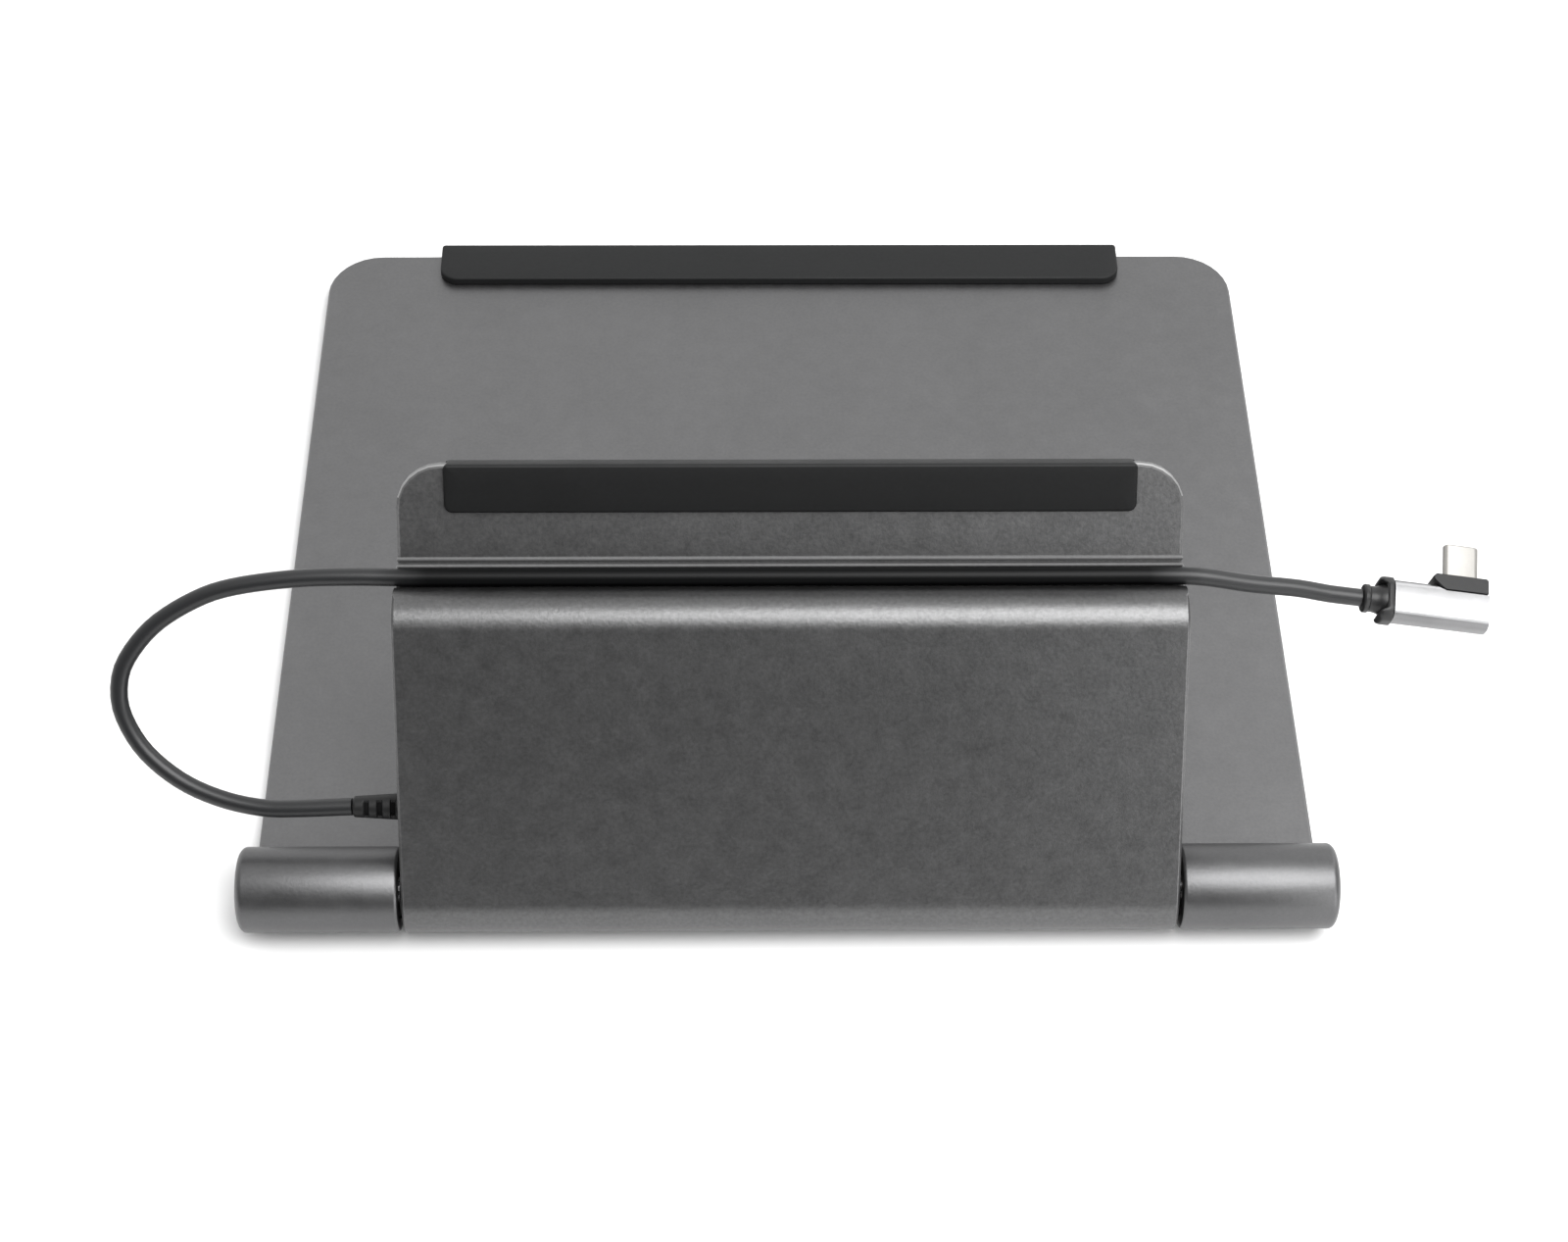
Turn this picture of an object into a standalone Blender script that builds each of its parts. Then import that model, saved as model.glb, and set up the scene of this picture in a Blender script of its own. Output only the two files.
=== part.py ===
"""Folding laptop cooling pad: a flat aluminium plate with a leg hinged along its near edge.

The leg carries a docking hub, a groove that stows the hub's cable, and a foot lip with a rubber edge.
X runs along the hinge, Y from the hinge to the plate's far edge, Z up. Units are metres.
"""

import math

import bmesh
import bpy
from mathutils import Matrix, Vector

# ---------------------------------------------------------------- driving dimensions
GAP = 0.0003                     # clearance between neighbouring pieces
SEGMENTS = 48                    # sides of a full circle
HIDDEN_SEGMENTS = 28             # sides of the hinge pieces inside the tube

PLATE_WIDTH = 0.2590
PLATE_THICKNESS = 0.0035
PLATE_NEAR_Y = 0.0090            # from the hinge axis
PLATE_FAR_Y = 0.2274             # from the hinge axis
PLATE_FAR_CORNER = 0.0146
PLATE_TOP_BELOW_AXIS = 0.0065

TUBE_LENGTH = 0.2630             # over both end caps
TUBE_RADIUS = 0.0103
TUBE_BORE = 0.0070
END_CAP_LENGTH = 0.0060          # a disc let into the tube's end
TUBE_END_LENGTH = 0.0020         # rounded end of the tube, along it
TUBE_END_DROP = 0.0030           # the same, across it
HINGE_HEIGHT = 0.0118            # hinge axis above the table
HINGE_Y = -0.10965               # puts the outline's centre at the origin
LEG_ANGLE = math.radians(56.3)   # leg face above the horizontal

LEG_WIDTH = 0.1846
LEG_SHIFT = 0.0005               # end play: the leg sits this far to the right of centre
LEG_FACE = TUBE_RADIUS           # front face, from the hinge axis
LEG_BACK = -0.0062               # back face, from the hinge axis
NOSE_RADIUS = 0.00825
NOSE_CENTRE = 0.0671             # along the leg from the hinge axis
CHANNEL_FLOOR = -0.0032
CHANNEL_END = 0.0788             # end of the shell, where the lip plate begins
RIB_START = 0.0790               # bead along the lip plate's lower edge
RIB_END = 0.0799
RIB_TOP = -0.0024
RIDGE_END = 0.0816               # second, lower bead, which starts the lip
RIDGE_TOP = -0.0028

CAVITY_START = 0.0120
CAVITY_END = 0.0610
CAVITY_LOW = -0.0032
CAVITY_HIGH = 0.0083
BOARD_LOW = 0.0044
BOARD_HIGH = 0.0055
BOARD_SLOT = 0.0009              # depth of the board's grooves in the cavity walls

LIP_WIDTH = 0.1834
LIP_START = 0.0805
LIP_END = 0.1036
LIP_CORNER = 0.0105
LIP_RUBBER_HALF = 0.0804
LIP_RUBBER_START = 0.0924
LIP_RUBBER_OVERHANG = 0.0010

FAR_RUBBER_HALF = 0.0977
FAR_RUBBER_START = 0.2153
FAR_RUBBER_OVERHANG = 0.0022
FAR_RUBBER_HEIGHT = 0.0025

SHAFT_RADIUS = 0.0030
SHAFT_CLEARANCE = 0.0001
SLEEVE_RADIUS = 0.0067
INSERT_RADIUS = 0.0052

CABLE_RADIUS = 0.0021
CABLE_POINT_STEP = 0.0085
RELIEF_ALONG = 0.0218            # strain relief's centre, along the leg
RELIEF_HEIGHT = 0.00205          # strain relief's centre, above the hinge axis in leg terms
RELIEF_TIP = -0.1036             # strain relief's free end
CABLE_SLOT_ALONG = 0.0773
CABLE_SLOT_HEIGHT = -0.00085
PLUG_CENTRE = (0.1532, 0.0688, -0.0025)
PLUG_PITCH = math.radians(18.0)  # plug's face above the horizontal
PLUG_ROLL = math.radians(-7.5)
COLLAR_START = -0.0192           # collar's free end, from the plug's centre

# ---------------------------------------------------------------- frames: the names of the empties
BASE = "base_frame"              # on the hinge axis, fixed
LEG = "leg_frame"                # on the hinge axis, turned with the leg
PLUG = "plug_frame"              # at the plug's centre, carried by the leg
PLUG_PLACE = (
    Matrix.Translation(PLUG_CENTRE)
    @ Matrix.Rotation(PLUG_ROLL, 4, "Z")
    @ Matrix.Rotation(PLUG_PITCH - LEG_ANGLE, 4, "X")
)

# ---------------------------------------------------------------- finishes: colour, roughness, metallic
ANODISED = ((0.105, 0.107, 0.112), 0.42, 1.0)
ANODISED_LIP = ((0.090, 0.092, 0.097), 0.45, 1.0)
BARE_ALUMINIUM = ((0.62, 0.63, 0.65), 0.30, 1.0)
STEEL = ((0.45, 0.45, 0.46), 0.28, 1.0)
DARK_STEEL = ((0.06, 0.06, 0.065), 0.40, 1.0)
RUBBER = ((0.028, 0.029, 0.031), 0.75, 0.0)
BLACK_PLASTIC = ((0.022, 0.022, 0.024), 0.50, 0.0)
CABLE_BLACK = ((0.020, 0.021, 0.023), 0.45, 0.0)
BOARD_GREEN = ((0.015, 0.110, 0.050), 0.45, 0.0)
CHIP_BLACK = ((0.020, 0.020, 0.022), 0.55, 0.0)
PAD_GREY = ((0.30, 0.33, 0.38), 0.80, 0.0)
BRONZE = ((0.40, 0.26, 0.12), 0.38, 1.0)


def clear_scene():
    for item in list(bpy.data.objects):
        bpy.data.objects.remove(item, do_unlink=True)


def finish_material(name, finish):
    colour, roughness, metallic = finish
    material = bpy.data.materials.new(name + "_finish")
    material.use_nodes = True
    shader = material.node_tree.nodes["Principled BSDF"]
    shader.inputs["Base Color"].default_value = (*colour, 1.0)
    shader.inputs["Roughness"].default_value = roughness
    shader.inputs["Metallic"].default_value = metallic
    material.diffuse_color = (*colour, 1.0)
    return material


def add_object(name, data, finish, frame):
    item = bpy.data.objects.new(name, data)
    bpy.context.scene.collection.objects.link(item)
    item.parent = bpy.data.objects[frame]
    if finish is not None:
        data.materials.append(finish_material(name, finish))
    return item


def add_frames():
    places = (
        (BASE, None, Matrix.Translation((0.0, HINGE_Y, HINGE_HEIGHT))),
        (LEG, BASE, Matrix.Translation((LEG_SHIFT, 0.0, 0.0)) @ Matrix.Rotation(LEG_ANGLE, 4, "X")),
        (PLUG, LEG, PLUG_PLACE),
    )
    for name, parent, place in places:
        frame = bpy.data.objects.new(name, None)
        bpy.context.scene.collection.objects.link(frame)
        frame.empty_display_size = 0.02
        if parent is not None:
            frame.parent = bpy.data.objects[parent]
        frame.location = place.to_translation()
        frame.rotation_euler = place.to_euler()


# ---------------------------------------------------------------- solids
def solid(name, points, faces, frame, finish):
    mesh = bpy.data.meshes.new(name)
    mesh.from_pydata(points, [], faces)
    builder = bmesh.new()
    builder.from_mesh(mesh)
    bmesh.ops.recalc_face_normals(builder, faces=builder.faces)
    builder.to_mesh(mesh)
    builder.free()
    mesh.shade_smooth()
    mesh.set_sharp_from_angle(angle=math.radians(32.0))
    return add_object(name, mesh, finish, frame)


def lofted(name, rings, frame, finish, closed=False):
    """A solid through equal rings of points; the first and last are capped unless the loft is closed."""
    count = len(rings[0])
    points = [point for ring in rings for point in ring]
    faces = []
    for level in range(len(rings) if closed else len(rings) - 1):
        low = level * count
        high = ((level + 1) % len(rings)) * count
        for i in range(count):
            j = (i + 1) % count
            faces.append((low + i, low + j, high + j, high + i))
    if not closed:
        faces.append(tuple(range(count)))
        faces.append(tuple(range(len(points) - count, len(points))))
    return solid(name, points, faces, frame, finish)


def prism_x(name, outline, low, high, frame, finish):
    """Outline of (along, across) pairs drawn out along X."""
    rings = [[(x, a, b) for a, b in outline] for x in (low, high)]
    return lofted(name, rings, frame, finish)


def box(name, low, high, frame, finish):
    outline = [(low[1], low[2]), (high[1], low[2]), (high[1], high[2]), (low[1], high[2])]
    return prism_x(name, outline, low[0], high[0], frame, finish)


def arc(centre_a, centre_b, radius, start, end, steps):
    """Points on a circle from start to end degrees."""
    points = []
    for i in range(steps + 1):
        angle = math.radians(start + (end - start) * i / steps)
        points.append((centre_a + radius * math.cos(angle), centre_b + radius * math.sin(angle)))
    return points


def rounded_rectangle(low, high, radii, inset=0.0, steps=8):
    """Corner radii run counter-clockwise from the low corner; inset shrinks the whole outline."""
    corners = (
        (low[0], low[1], 1, 1, 180),
        (high[0], low[1], -1, 1, 270),
        (high[0], high[1], -1, -1, 0),
        (low[0], high[1], 1, -1, 90),
    )
    points = []
    for (a, b, side_a, side_b, start), radius in zip(corners, radii):
        reach = max(radius, inset + 0.0001)
        turn = reach - inset
        points += arc(a + side_a * reach, b + side_b * reach, turn, start, start + 90, steps)
    return points


def slab(name, low, high, radii, levels, frame, finish, steps=8):
    """A flat piece: levels are (height, inset) pairs, which form its chamfers."""
    rings = []
    for height, inset in levels:
        outline = rounded_rectangle(low, high, radii, inset, steps)
        rings.append([(a, b, height) for a, b in outline])
    return lofted(name, rings, frame, finish)


def turned(name, profile, frame, finish, along=0.0, height=0.0, closed=False, sides=SEGMENTS):
    """A piece turned about an axis parallel to X: profile is (x, radius) pairs."""
    rings = []
    for x, radius in profile:
        circle = arc(along, height, radius, 0, 360 - 360 / sides, sides - 1)
        rings.append([(x, a, b) for a, b in circle])
    return lofted(name, rings, frame, finish, closed)


def post(name, centre, levels, frame, finish, sides=12):
    """A piece turned about the local Z axis: levels are (height, radius) pairs."""
    rings = []
    for height, radius in levels:
        circle = arc(centre[0], centre[1], radius, 0, 360 - 360 / sides, sides - 1)
        rings.append([(a, b, height) for a, b in circle])
    return lofted(name, rings, frame, finish)


def combine(target, tool, operation):
    tool.hide_render = True
    tool.display_type = "WIRE"
    modifier = target.modifiers.new(tool.name, "BOOLEAN")
    modifier.operation = operation
    modifier.solver = "EXACT"
    modifier.object = tool


def cut(target, tool):
    combine(target, tool, "DIFFERENCE")


def add(target, tool):
    combine(target, tool, "UNION")


def soften_ends(item, width, keep):
    """Chamfers the edges that lie in an end face and whose points pass the keep test."""
    mesh = item.data
    weights = mesh.attributes.new("bevel_weight_edge", "FLOAT", "EDGE")
    ends = max(vertex.co.x for vertex in mesh.vertices)
    for edge in mesh.edges:
        first, second = (mesh.vertices[i].co for i in edge.vertices)
        at_end = abs(abs(first.x) - ends) < 1e-6 and abs(first.x - second.x) < 1e-6
        if at_end and keep(first) and keep(second):
            weights.data[edge.index].value = 1.0
    bevel = item.modifiers.new("end_chamfer", "BEVEL")
    bevel.limit_method = "WEIGHT"
    bevel.width = width
    bevel.segments = 1
    bevel.use_clamp_overlap = False


# ---------------------------------------------------------------- base: plate, barrels, rubber
def build_plate():
    low = (-PLATE_WIDTH / 2, PLATE_NEAR_Y)
    high = (PLATE_WIDTH / 2, PLATE_FAR_Y)
    top = -PLATE_TOP_BELOW_AXIS
    bottom = top - PLATE_THICKNESS
    chamfer = 0.0005
    levels = ((bottom, chamfer), (bottom + chamfer, 0.0), (top - chamfer, 0.0), (top, chamfer))
    radii = (0.0020, 0.0020, PLATE_FAR_CORNER, PLATE_FAR_CORNER)
    plate = slab("base_plate", low, high, radii, levels, BASE, ANODISED)
    for side, sign in (("left", -1), ("right", 1)):
        inner, outer = sorted((sign * 0.0937, sign * 0.1273))
        pocket_low = (inner, PLATE_NEAR_Y - 0.002, bottom - 0.001)
        pocket_high = (outer, 0.0243, bottom + 0.0018)
        cut(plate, box("plate_pocket_" + side, pocket_low, pocket_high, BASE, None))
        for number, x in enumerate((0.1010, 0.1195), start=1):
            levels = ((bottom + 0.0010, 0.00155), (bottom + 0.0029, 0.00155))
            name = "plate_thread_%s_%d" % (side, number)
            cut(plate, post(name, (sign * x, 0.0160), levels, BASE, None))


def barrel_inner(sign):
    """Distance of a barrel's inner end from the middle, which leaves 1 mm to the leg."""
    return LEG_WIDTH / 2 + sign * LEG_SHIFT + 0.0010


def build_barrel(side, sign):
    inner = barrel_inner(sign)
    outer = TUBE_LENGTH / 2
    bottom = -PLATE_TOP_BELOW_AXIS - PLATE_THICKNESS
    rim = arc(inner + 0.0009, TUBE_RADIUS - 0.0009, 0.0009, 180, 90, 3)
    end = []
    for i in range(8):
        angle = math.pi / 2 * i / 7
        drop = TUBE_END_DROP * (1 - math.cos(angle))
        end.append((outer - TUBE_END_LENGTH * (1 - math.sin(angle)), TUBE_RADIUS - drop))
    profile = [(inner, TUBE_BORE)] + rim + end + [(outer, TUBE_BORE)]
    mirrored = [(sign * x, radius) for x, radius in profile]
    barrel = turned("hinge_barrel_" + side, mirrored, BASE, ANODISED, closed=True)
    foot_start, foot_end = sorted((sign * max(0.0940, inner + 0.0010), sign * 0.1270))
    foot_low = (foot_start, 0.0, bottom)
    foot_high = (foot_end, 0.0240, bottom + 0.0015)
    add(barrel, box("barrel_foot_" + side, foot_low, foot_high, BASE, None))
    for number, x in enumerate((0.1010, 0.1195), start=1):
        centre = (sign * x, 0.0160)
        hole = (
            (bottom - 0.0010, 0.0026),
            (bottom + 0.0010, 0.0026),
            (bottom + 0.0010, 0.00155),
            (bottom + 0.0025, 0.00155),
        )
        cut(barrel, post("foot_hole_%s_%d" % (side, number), centre, hole, BASE, None))
        shape = (
            (bottom, 0.0019),
            (bottom + 0.0003, 0.0023),
            (bottom + 0.0007, 0.0023),
            (bottom + 0.0007, 0.00125),
            (bottom + 0.0026, 0.00125),
        )
        post("barrel_screw_%s_%d" % (side, number), centre, shape, BASE, STEEL)


def build_end_cap(side, sign):
    end = TUBE_LENGTH / 2 - 0.0002
    start = TUBE_LENGTH / 2 - END_CAP_LENGTH
    plug = TUBE_BORE - GAP
    profile = [(start, plug - 0.0005), (start + 0.0005, plug), (end - 0.0003, plug), (end, plug - 0.0003)]
    mirrored = [(sign * x, radius) for x, radius in profile]
    turned("hinge_end_cap_" + side, mirrored, BASE, ANODISED)


def build_hinge(side, sign):
    def along_x(values):
        return [(sign * x, radius) for x, radius in values]

    bore = SHAFT_RADIUS + SHAFT_CLEARANCE
    shaft = ((0.0660, 0.0026), (0.0664, 0.0030), (0.1206, 0.0030), (0.1210, 0.0026))
    turned("hinge_shaft_" + side, along_x(shaft), LEG, STEEL, sides=HIDDEN_SEGMENTS)
    insert = ((0.0677, bore), (0.0677, INSERT_RADIUS), (0.0917, INSERT_RADIUS), (0.0917, bore))
    turned("hinge_insert_" + side, along_x(insert), LEG, BRONZE, closed=True, sides=HIDDEN_SEGMENTS)
    near = barrel_inner(sign) + 0.0004
    far = near + 0.0260
    sleeve = ((near, bore), (near, SLEEVE_RADIUS), (far, SLEEVE_RADIUS), (far, bore))
    turned("friction_sleeve_" + side, along_x(sleeve), BASE, DARK_STEEL, closed=True, sides=HIDDEN_SEGMENTS)
    near = barrel_inner(sign) - 0.0007
    far = near + 0.0004
    washer = ((near, bore), (near, 0.0062), (far, 0.0062), (far, bore))
    turned("hinge_washer_" + side, along_x(washer), BASE, BLACK_PLASTIC, closed=True, sides=HIDDEN_SEGMENTS)


def wrapped_rubber(name, half, start, end, underside, topside, sheet, radius, frame):
    """A rubber edging that folds over the end of a sheet; sheet is its (end, low, high) hollow."""
    edge = 0.0003
    levels = (
        (underside, edge),
        (underside + edge, 0.0),
        (topside - edge, 0.0),
        (topside, edge),
    )
    radii = (radius, radius, 0.0008, 0.0008)
    edging = slab(name, (-half, start), (half, end), radii, levels, frame, RUBBER)
    sheet_end, sheet_low, sheet_high = sheet
    low = (-half - 0.002, start - 0.002, sheet_low - GAP)
    high = (half + 0.002, sheet_end + GAP, sheet_high + GAP)
    cut(edging, box(name + "_hollow", low, high, frame, None))


def build_far_edge_rubber():
    top = -PLATE_TOP_BELOW_AXIS
    bottom = top - PLATE_THICKNESS
    wrapped_rubber(
        "far_edge_rubber",
        FAR_RUBBER_HALF,
        FAR_RUBBER_START,
        PLATE_FAR_Y + FAR_RUBBER_OVERHANG,
        -HINGE_HEIGHT,
        top + FAR_RUBBER_HEIGHT,
        (PLATE_FAR_Y, bottom, top),
        0.0050,
        BASE,
    )


def build_pads():
    bottom = -PLATE_TOP_BELOW_AXIS - PLATE_THICKNESS - GAP
    levels = ((-HINGE_HEIGHT, 0.0005), (-HINGE_HEIGHT + 0.0005, 0.0), (bottom, 0.0))
    for side, sign in (("left", -1), ("right", 1)):
        inner, outer = sorted((sign * 0.0480, sign * 0.1180))
        radii = (0.0044, 0.0044, 0.0044, 0.0044)
        slab("underside_pad_" + side, (inner, 0.0330), (outer, 0.0420), radii, levels, BASE, RUBBER)


# ---------------------------------------------------------------- leg: shell, covers, lip
def shell_outline():
    """Leg section in (along, height) from the hinge axis, anticlockwise from the face's root."""
    join = -math.degrees(math.asin(-LEG_BACK / TUBE_RADIUS))
    nose_height = LEG_FACE - NOSE_RADIUS
    crook = -math.degrees(math.asin((nose_height - CHANNEL_FLOOR) / NOSE_RADIUS))
    points = arc(0.0, 0.0, TUBE_RADIUS, 90, 360 + join, 40)
    points += [(CHANNEL_END, LEG_BACK), (CHANNEL_END, CHANNEL_FLOOR)]
    points += arc(NOSE_CENTRE, nose_height, NOSE_RADIUS, crook, 90, 28)
    return points


def cavity_outline(inset=0.0):
    """Hub cavity section: a rectangle with a groove in each side wall for the board."""
    low_a = CAVITY_START + inset
    high_a = CAVITY_END - inset
    low_b = CAVITY_LOW + inset
    high_b = CAVITY_HIGH - inset
    slot_low = BOARD_LOW - GAP + inset
    slot_high = BOARD_HIGH + GAP - inset
    return [
        (low_a, low_b),
        (high_a, low_b),
        (high_a, slot_low),
        (high_a + BOARD_SLOT, slot_low),
        (high_a + BOARD_SLOT, slot_high),
        (high_a, slot_high),
        (high_a, high_b),
        (low_a, high_b),
        (low_a, slot_high),
        (low_a - BOARD_SLOT, slot_high),
        (low_a - BOARD_SLOT, slot_low),
        (low_a, slot_low),
    ]


COVER_SCREWS = ((-0.0848, 0.0181), (0.0848, 0.0181), (-0.0848, 0.0549), (0.0848, 0.0549))
LIP_SCREWS = (-0.0750, -0.0250, 0.0250, 0.0750)
LIP_SCREW_ALONG = 0.0680


def build_leg_shell():
    half = LEG_WIDTH / 2
    shell = prism_x("leg_shell", shell_outline(), -half, half, LEG, ANODISED)

    def on_outer_skin(point):
        return point.y < NOSE_CENTRE + 0.0075 and point.z > CHANNEL_FLOOR + 0.0002

    soften_ends(shell, 0.0006, on_outer_skin)
    reach = half + 0.001
    cut(shell, prism_x("shell_cavity", cavity_outline(), -reach, reach, LEG, None))
    bore = ((-reach, INSERT_RADIUS + GAP), (reach, INSERT_RADIUS + GAP))
    cut(shell, turned("shell_hinge_bore", bore, LEG, None))
    low = (-0.0883, 0.0147, LEG_BACK - 0.001)
    cut(shell, box("shell_cover_rebate", low, (0.0883, 0.0583, -0.0047), LEG, None))
    low = (-0.0820, 0.0200, LEG_BACK - 0.001)
    cut(shell, box("shell_back_opening", low, (0.0820, 0.0530, CAVITY_LOW + 0.001), LEG, None))
    low = (-0.0883, 0.0607, LEG_BACK - 0.001)
    cut(shell, box("shell_lip_rebate", low, (0.0883, 0.0900, -0.0046), LEG, None))
    for number, centre in enumerate(COVER_SCREWS, start=1):
        hole = ((-0.0060, 0.0013), (CAVITY_LOW + 0.001, 0.0013))
        cut(shell, post("shell_cover_thread_%d" % number, centre, hole, LEG, None))
    for number, x in enumerate(LIP_SCREWS, start=1):
        hole = ((-0.0060, 0.0013), (-0.0018, 0.0013))
        cut(shell, post("shell_lip_thread_%d" % number, (x, LIP_SCREW_ALONG), hole, LEG, None))


def flush_screw(name, centre, head_low, tip, frame):
    shape = (
        (head_low, 0.0017),
        (head_low + 0.0002, 0.0020),
        (head_low + 0.0005, 0.0020),
        (head_low + 0.0005, 0.0010),
        (tip, 0.0010),
    )
    post(name, centre, shape, frame, STEEL)


def screw_seat(target, name, centre, surface, seat, through):
    hole = ((surface - 0.001, 0.0023), (seat, 0.0023), (seat, 0.0013), (through, 0.0013))
    cut(target, post(name + "_hole", centre, hole, LEG, None))


def build_back_cover():
    levels = ((LEG_BACK, 0.0003), (LEG_BACK + 0.0003, 0.0), (-0.0050, 0.0))
    radii = (0.0010, 0.0010, 0.0010, 0.0010)
    cover = slab("leg_back_cover", (-0.0880, 0.0150), (0.0880, 0.0580), radii, levels, LEG, ANODISED, 3)
    for number, centre in enumerate(COVER_SCREWS, start=1):
        screw_seat(cover, "cover_%d" % number, centre, LEG_BACK, LEG_BACK + 0.0007, -0.0040)
        flush_screw("cover_screw_%d" % number, centre, LEG_BACK, -0.0034, LEG)


def build_lip():
    half = LIP_WIDTH / 2
    levels = (
        (LEG_BACK, 0.0003),
        (LEG_BACK + 0.0003, 0.0),
        (CHANNEL_FLOOR - 0.0007, 0.0),
        (CHANNEL_FLOOR, 0.0007),
    )
    radii = (0.0012, 0.0012, LIP_CORNER, LIP_CORNER)
    lip = slab("lip_plate", (-half, LIP_START), (half, LIP_END), radii, levels, LEG, ANODISED_LIP, 6)
    bead = (RIB_END - RIB_START) / 2
    rib = arc(RIB_START + bead, RIB_TOP - bead, bead, 180, 0, 8)
    inside = LIP_START + 0.0006
    rib += [(RIB_END, -0.0040), (inside, -0.0040), (inside, -0.0057), (RIB_START, -0.0057)]
    add(lip, prism_x("lip_rib", rib, -half, half, LEG, None))
    bead = (RIDGE_END - LIP_START) / 2
    ridge = arc(LIP_START + bead, RIDGE_TOP - bead, bead, 180, 0, 8)
    ridge += [(RIDGE_END, -0.0045), (LIP_START, -0.0045)]
    add(lip, prism_x("lip_ridge", ridge, -half, half, LEG, None))
    tongue_low = (-0.0880, 0.0610, LEG_BACK + 0.0001)
    add(lip, box("lip_tongue", tongue_low, (0.0880, 0.0830, -0.0049), LEG, None))
    for number, x in enumerate(LIP_SCREWS, start=1):
        centre = (x, LIP_SCREW_ALONG)
        screw_seat(lip, "lip_%d" % number, centre, LEG_BACK, LEG_BACK + 0.0007, -0.0040)
        flush_screw("lip_screw_%d" % number, centre, LEG_BACK + 0.0001, -0.0022, LEG)


def build_lip_rubber():
    wrapped_rubber(
        "lip_rubber",
        LIP_RUBBER_HALF,
        LIP_RUBBER_START,
        LIP_END + LIP_RUBBER_OVERHANG,
        LEG_BACK - 0.0015,
        CHANNEL_FLOOR + 0.0016,
        (LIP_END, LEG_BACK, CHANNEL_FLOOR),
        0.0020,
        LEG,
    )


# ---------------------------------------------------------------- hub inside the leg
# port: name, side (+1 right, -1 left), low and high along the leg, low and high in height, depth
PORTS = (
    ("hdmi_port", 1, 0.0145, 0.0297, -0.0014, 0.0041, 0.0115),
    ("usb_c_power_port", 1, 0.0325, 0.0417, 0.0009, 0.0041, 0.0085),
    ("card_slot", 1, 0.0448, 0.0590, 0.0013, 0.0041, 0.0140),
    ("usb_a_port_1", -1, 0.0284, 0.0416, -0.0015, 0.0041, 0.0140),
    ("usb_a_port_2", -1, 0.0446, 0.0578, -0.0015, 0.0041, 0.0140),
)
PORT_FACE = 0.0917
PORT_WALL = 0.0005


def span(sign, near, far):
    return min(sign * near, sign * far), max(sign * near, sign * far)


def build_port(port):
    name, sign, along_low, along_high, low, high, depth = port
    back = PORT_FACE - depth
    x_low, x_high = span(sign, back, PORT_FACE)
    shell = box(name, (x_low, along_low, low), (x_high, along_high, high), LEG, BARE_ALUMINIUM)
    x_low, x_high = span(sign, back + 0.0020, PORT_FACE + 0.001)
    pocket_low = (x_low, along_low + PORT_WALL, low + PORT_WALL)
    pocket_high = (x_high, along_high - PORT_WALL, high - PORT_WALL)
    cut(shell, box(name + "_pocket", pocket_low, pocket_high, LEG, None))
    if name == "card_slot":
        return
    tongue_half = 0.0004 if high - low < 0.004 else 0.0008
    middle = (low + high) / 2
    x_low, x_high = span(sign, back + 0.0010, PORT_FACE - 0.0015)
    tongue_low = (x_low, along_low + PORT_WALL + 0.0012, middle - tongue_half)
    tongue_high = (x_high, along_high - PORT_WALL - 0.0012, middle + tongue_half)
    add(shell, box(name + "_tongue", tongue_low, tongue_high, LEG, None))


def build_end_covers():
    for side, sign in (("left", -1), ("right", 1)):
        x_low, x_high = span(sign, 0.0893, 0.0919)
        name = "leg_end_cover_" + side
        cover = prism_x(name, cavity_outline(GAP), x_low, x_high, LEG, BLACK_PLASTIC)
        x_low, x_high = span(sign, 0.0880, 0.0930)
        for port, port_sign, along_low, along_high, low, high, _ in PORTS:
            if port_sign == sign:
                window_low = (x_low, along_low - GAP, low - GAP)
                window_high = (x_high, along_high + GAP, high + GAP)
                cut(cover, box(port + "_window", window_low, window_high, LEG, None))
        if sign < 0:
            hole = ((x_low, 0.0035), (x_high, 0.0035))
            tool = turned("relief_hole", hole, LEG, None, RELIEF_ALONG, RELIEF_HEIGHT)
            cut(cover, tool)


def build_board():
    low = (-0.0855, CAVITY_START - BOARD_SLOT + GAP, BOARD_LOW)
    high = (0.0868, CAVITY_END + BOARD_SLOT - GAP, BOARD_HIGH)
    box("hub_board", low, high, LEG, BOARD_GREEN)
    chips = (
        ("hub_controller_chip", -0.0100, 0.0360, 0.0060, 0.0010),
        ("card_reader_chip", 0.0420, 0.0500, 0.0030, 0.0009),
        ("video_chip", 0.0520, 0.0230, 0.0045, 0.0010),
    )
    for name, x, along, half, tall in chips:
        base = BOARD_HIGH + GAP
        levels = ((base, 0.0), (base + tall - 0.0002, 0.0), (base + tall, 0.0002))
        radii = (0.0003, 0.0003, 0.0003, 0.0003)
        slab(name, (x - half, along - half), (x + half, along + half), radii, levels, LEG, CHIP_BLACK, 2)
    low = (-0.0200, 0.0270, BOARD_HIGH + 0.0016)
    box("thermal_pad", low, (0.0000, 0.0450, CAVITY_HIGH - GAP), LEG, PAD_GREY)


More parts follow.
